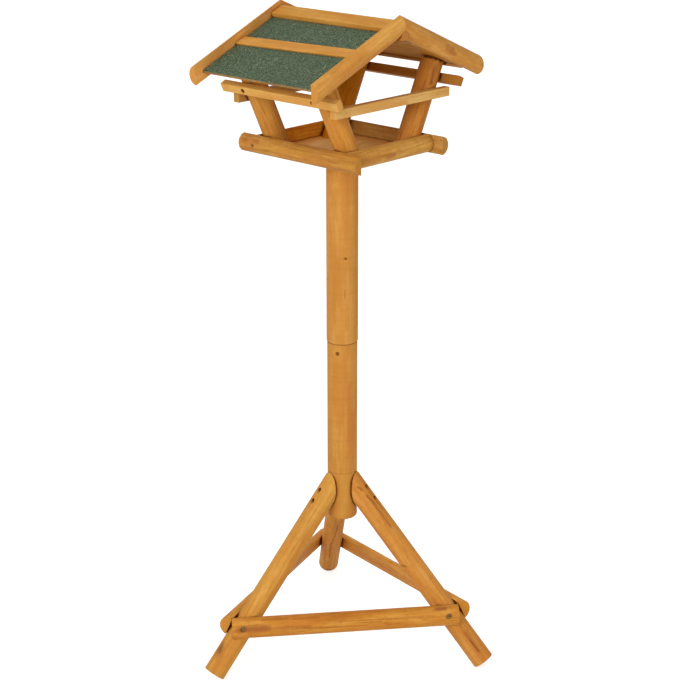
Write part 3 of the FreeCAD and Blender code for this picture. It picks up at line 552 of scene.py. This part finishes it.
# Marks that the photograph shows, in millimetres
MARKS = {
    "leg_left": [
        spot((-268.6, 54.0, 59.8), 26, STREAK_BROWN, 0.45, along=(0.5, 0.1, 0.85), length=34),
        spot((-268.6, 54.0, 59.8), 17, KNOT_GREY, 0.75, core=0.0, along=(0.5, 0.1, 0.85), length=21),
    ],
    "brace_front": [
        stroke((-255.0, 28.0, 102.0), (-205.0, -14.0, 103.0), 21, STREAK_BROWN, 0.85),
        stroke((-215.0, -10.0, 103.5), (-150.0, -65.0, 104.0), 11, STREAK_BROWN, 0.6),
        stroke((-160.0, -57.0, 104.5), (-50.0, -149.0, 105.0), 4, CRACK_BROWN, 0.4),
        stroke((-190.0, -30.0, 98.0), (-70.0, -132.0, 99.0), 5, STREAK_BROWN, 0.5),
        stroke((-110.0, -96.0, 108.0), (10.0, -198.0, 110.0), 4, STREAK_BROWN, 0.45),
        spot((39.2, -211.5, 119.1), 13, STREAK_BROWN, 0.85, along=(0.8, -0.6, 0), length=24),
        spot((47.0, -220.0, 112.0), 9, STREAK_BROWN, 0.45, along=(0.4, -0.3, -0.8), length=20),
        spot((-191.9, -11.8, 114.9), 8, STREAK_BROWN, 0.5, along=(0.75, -0.65, 0), length=50),
        spot((-150.0, -50.0, 114.0), 7, STREAK_BROWN, 0.45, along=(0.75, -0.65, 0), length=50),
        # painted shade round the two screw heads
        spot((-240.3, 19.6, 101.9), 13, HOLE_SHADE, 0.8, core=0.5, ragged=0.1),
        spot((45.3, -228.0, 107.9), 13, HOLE_SHADE, 0.8, core=0.5, ragged=0.1),
    ],
    "leg_right": [
        stroke((-2.9, -40.1, 326.0), (3.7, -49.1, 318.5), 8, RUST_BROWN, 0.6),
        stroke((5.3, -54.8, 310.9), (13.9, -70.0, 294.3), 8, RUST_BROWN, 0.6),
        stroke((24.0, -104.0, 252.0), (11.0, -65.1, 299.8), 9, STREAK_BROWN, 0.6),
        stroke((30.0, -92.0, 272.0), (12.0, -40.0, 328.0), 10, STREAK_BROWN, 0.45),
        stroke((25.9, -125.2, 183.6), (27.5, -139.1, 185.1), 6, CRACK_BROWN, 0.8),
        stroke((72.1, -256.3, 58.0), (78.2, -273.4, 37.1), 5, CRACK_BROWN, 0.75),
        stroke((70.0, -244.0, 74.0), (78.0, -276.0, 36.0), 14, STREAK_BROWN, 0.5),
    ],
    "leg_rear": [
        stroke((84.0, 91.0, 174.7), (105.4, 119.3, 134.6), 5, RUST_BROWN, 0.65, ragged=0.9),
        stroke((104.4, 117.3, 136.6), (119.1, 144.3, 100.8), 5, RUST_BROWN, 0.65, ragged=0.9),
        stroke((119.1, 144.3, 100.8), (147.7, 175.7, 50.6), 5, RUST_BROWN, 0.6, ragged=0.9),
        stroke((75.3, 85.2, 190.1), (151.7, 171.8, 60.4), 14, STREAK_BROWN, 0.35),
    ],
    "upper_post": [
        spot((-16.4, -23.3, 764.1), 7, KNOT_BROWN, 0.9),
        spot((-17.5, -22.4, 698.5), 4, STREAK_BROWN, 0.4, along=(0, 0, 1), length=16),
        stroke((9.0, -27.0, 950.0), (9.0, -27.0, 760.0), 18, WARM_PATCH, 0.4),
    ],
    "lower_post": [
        spot((-7.6, -26.4, 470.0), 20, WARM_PATCH, 0.45, along=(0, 0, 1), length=120),
        stroke((-3.0, -27.3, 530.0), (-12.0, -24.8, 512.0), 6, WARM_PATCH, 0.6),
        stroke((-1.0, -27.5, 475.0), (-3.0, -27.3, 390.0), 17, WARM_PATCH, 0.3),
        stroke((-3.0, -27.3, 398.0), (-16.0, -22.8, 380.0), 5, WARM_PATCH, 0.6),
    ],
    "tray_rail_left": [
        stroke((-117.0, 134.0, 969.0), (-117.0, 84.0, 972.0), 36, REDDISH, 0.4),
        spot((-117.7, 122.9, 972.0), 14, STREAK_BROWN, 0.5, along=(0, 1, 0)),
        spot((-116.9, 96.0, 974.0), 12, STREAK_BROWN, 0.45, along=(0, 1, 0), length=18),
    ],
    "tray_rail_near": [
        spot((-6.2, -119.3, 962.1), 15, STREAK_BROWN, 0.55, along=(1, 0, 0), length=26),
    ],
    "tray_rail_right": [
        stroke((104.1, -136.0, 976.0), (112.0, -136.8, 954.0), 3, CRACK_BROWN, 0.8),
    ],
    "barge_board_right_near": [
        spot((119.1, -146.9, 1124.2), 12, STREAK_BROWN, 0.6, along=(0.9, 0, -0.4), length=20),
        spot((110.0, -147.4, 1135.0), 12, STREAK_BROWN, 0.5, along=(0.9, 0, -0.4), length=26),
        spot((105.3, -147.1, 1130.9), 10, STREAK_BROWN, 0.4, along=(0.9, 0, -0.4), length=16),
    ],
    "corner_post_right_near": [
        # painted shadow along the post's top
        *(stroke(start, end, 10, HOLE_SHADE, 0.9, core=0.3, ragged=0.2)
          for start, end in zip(POST_TOP_SHADOW, POST_TOP_SHADOW[1:])),
        stroke((122.5, -102.2, 1091.5), (113.5, -103.3, 1066.1), 4, CRACK_BROWN, 0.75),
        spot((119.5, -102.7, 1081.0), 13, STREAK_BROWN, 0.6, along=(0.4, 0, 0.9), length=36),
        stroke((106.6, -97.5, 1073.2), (97.7, -94.8, 1055.1), 6, STREAK_BROWN, 0.6),
        spot((134.3, -102.0, 1070.5), 6, STREAK_BROWN, 0.5, along=(0.4, 0, 0.9), length=34),
    ],
    "gable_cleat_right_near": UNDER_RIDGE_SHADOW_AND_HIGHLIGHT,
    "roof_lining_right": UNDER_RIDGE_SHADOW_AND_HIGHLIGHT,
    "ridge_beam": [spot((-5.0, -146.0, 1168.0), 70, RIDGE_END, 0.8, core=0.7, ragged=0.1)],
}


def style_of(name):
    for starts, style in PIECE_STYLES:
        if name.startswith(starts):
            return style
    raise KeyError(name)


def dress_nodes():
    """Give every CAD node its material. A piece's place in the sorted names seeds its grain."""
    felt = mineral_felt()
    steels = {name: screw_steel(name, **look) for name, look in STEELS.items()}
    for seed, name in enumerate(sorted(NODES)):
        piece = NODES[name]
        if name.startswith("roof_felt"):
            material = felt
        elif name.endswith("screws"):
            material = steels[SCREW_STEELS.get(name, "dull_steel")]
        elif name.endswith("nails"):
            material = stained_wood("stained_nails", piece, "strip", seed)
        else:
            tone_and_shade, marks = TONES_AND_PAINTED_LIGHT.get(name, PLAIN_TONE), MARKS.get(name, ())
            material = stained_wood(name + "_wood", piece, style_of(name), seed, tone_and_shade, marks)
        piece.data.materials.clear()
        piece.data.materials.append(material)


def make_camera():
    heading, drop, roll = (math.radians(angle) for angle in (CAMERA_HEADING, CAMERA_DROP, CAMERA_ROLL))
    level = Vector((math.sin(heading), math.cos(heading), 0.0))
    ahead = level * math.cos(drop) - Vector((0.0, 0.0, math.sin(drop)))
    right = Vector((math.cos(heading), -math.sin(heading), 0.0))
    up = right.cross(ahead)
    rolled_right = right * math.cos(roll) + up * math.sin(roll)
    rolled_up = up * math.cos(roll) - right * math.sin(roll)
    data = bpy.data.cameras.new("photo_camera")
    data.sensor_width = SENSOR_WIDTH
    data.lens = FOCAL_PIXELS * SENSOR_WIDTH / PHOTO_PIXELS
    data.shift_x = (PHOTO_PIXELS / 2 - CENTRE_PIXEL[0]) / PHOTO_PIXELS
    data.shift_y = (CENTRE_PIXEL[1] - PHOTO_PIXELS / 2) / PHOTO_PIXELS
    data.clip_end = FLOOR_SIZE
    camera = bpy.data.objects.new("photo_camera", data)
    bpy.context.scene.collection.objects.link(camera)
    turn = Matrix((rolled_right, rolled_up, -ahead)).transposed()
    camera.matrix_world = Matrix.Translation(CAMERA_PLACE) @ turn.to_4x4()
    bpy.context.scene.camera = camera


def soft_lamp(name, place, size, power):
    data = bpy.data.lights.new(name, "AREA")
    data.shape = "DISK"
    data.size = size
    data.energy = power
    lamp = bpy.data.objects.new(name, data)
    bpy.context.scene.collection.objects.link(lamp)
    lamp.location = place
    lamp.rotation_euler = (Vector(LAMP_TARGET) - Vector(place)).to_track_quat("-Z", "Y").to_euler()
    lamp.visible_camera = False


def seen_share(graph):
    """1 for rays that show the background to the lens, straight or by way of metal or glass."""
    path = graph.add("ShaderNodeLightPath").outputs
    straight = graph.math("MAXIMUM", path["Is Camera Ray"], path["Is Glossy Ray"])
    return graph.math("MAXIMUM", straight, path["Is Transmission Ray"])


def make_world():
    world = bpy.data.worlds.new("studio")
    bpy.context.scene.world = world
    world.use_nodes = True
    world.node_tree.nodes.clear()
    graph = Graph(world.node_tree)
    soft = graph.add("ShaderNodeBackground", {"Color": WHITE, "Strength": WORLD_STRENGTH}).outputs[0]
    plain = graph.add("ShaderNodeBackground", {"Color": WHITE, "Strength": 1.0}).outputs[0]
    mixed = graph.add("ShaderNodeMixShader", {0: seen_share(graph), 1: soft, 2: plain}).outputs[0]
    graph.add("ShaderNodeOutputWorld", {"Surface": mixed})


def make_floor():
    bpy.ops.mesh.primitive_plane_add(size=FLOOR_SIZE, location=(0.0, 0.0, 0.0))
    floor = bpy.context.object
    floor.name = "studio_floor"
    material, graph = new_material("studio_floor")
    grey = (FLOOR_TONE, FLOOR_TONE, FLOOR_TONE, 1.0)
    matte = graph.add("ShaderNodeBsdfDiffuse", {"Color": grey}).outputs[0]
    glow = graph.add("ShaderNodeEmission", {"Color": WHITE, "Strength": FLOOR_GLOW}).outputs[0]
    lit = graph.add("ShaderNodeAddShader", {0: matte, 1: glow}).outputs[0]
    finish_material(graph, graph.add("ShaderNodeMixShader", {0: seen_share(graph), 1: matte, 2: lit}))
    floor.data.materials.append(material)


def make_studio():
    make_world()
    make_floor()
    for name, (place, size, power) in LAMPS.items():
        soft_lamp(name, place, size, power)
    bpy.context.scene.view_settings.view_transform = "Standard"


dress_nodes()
make_studio()
make_camera()
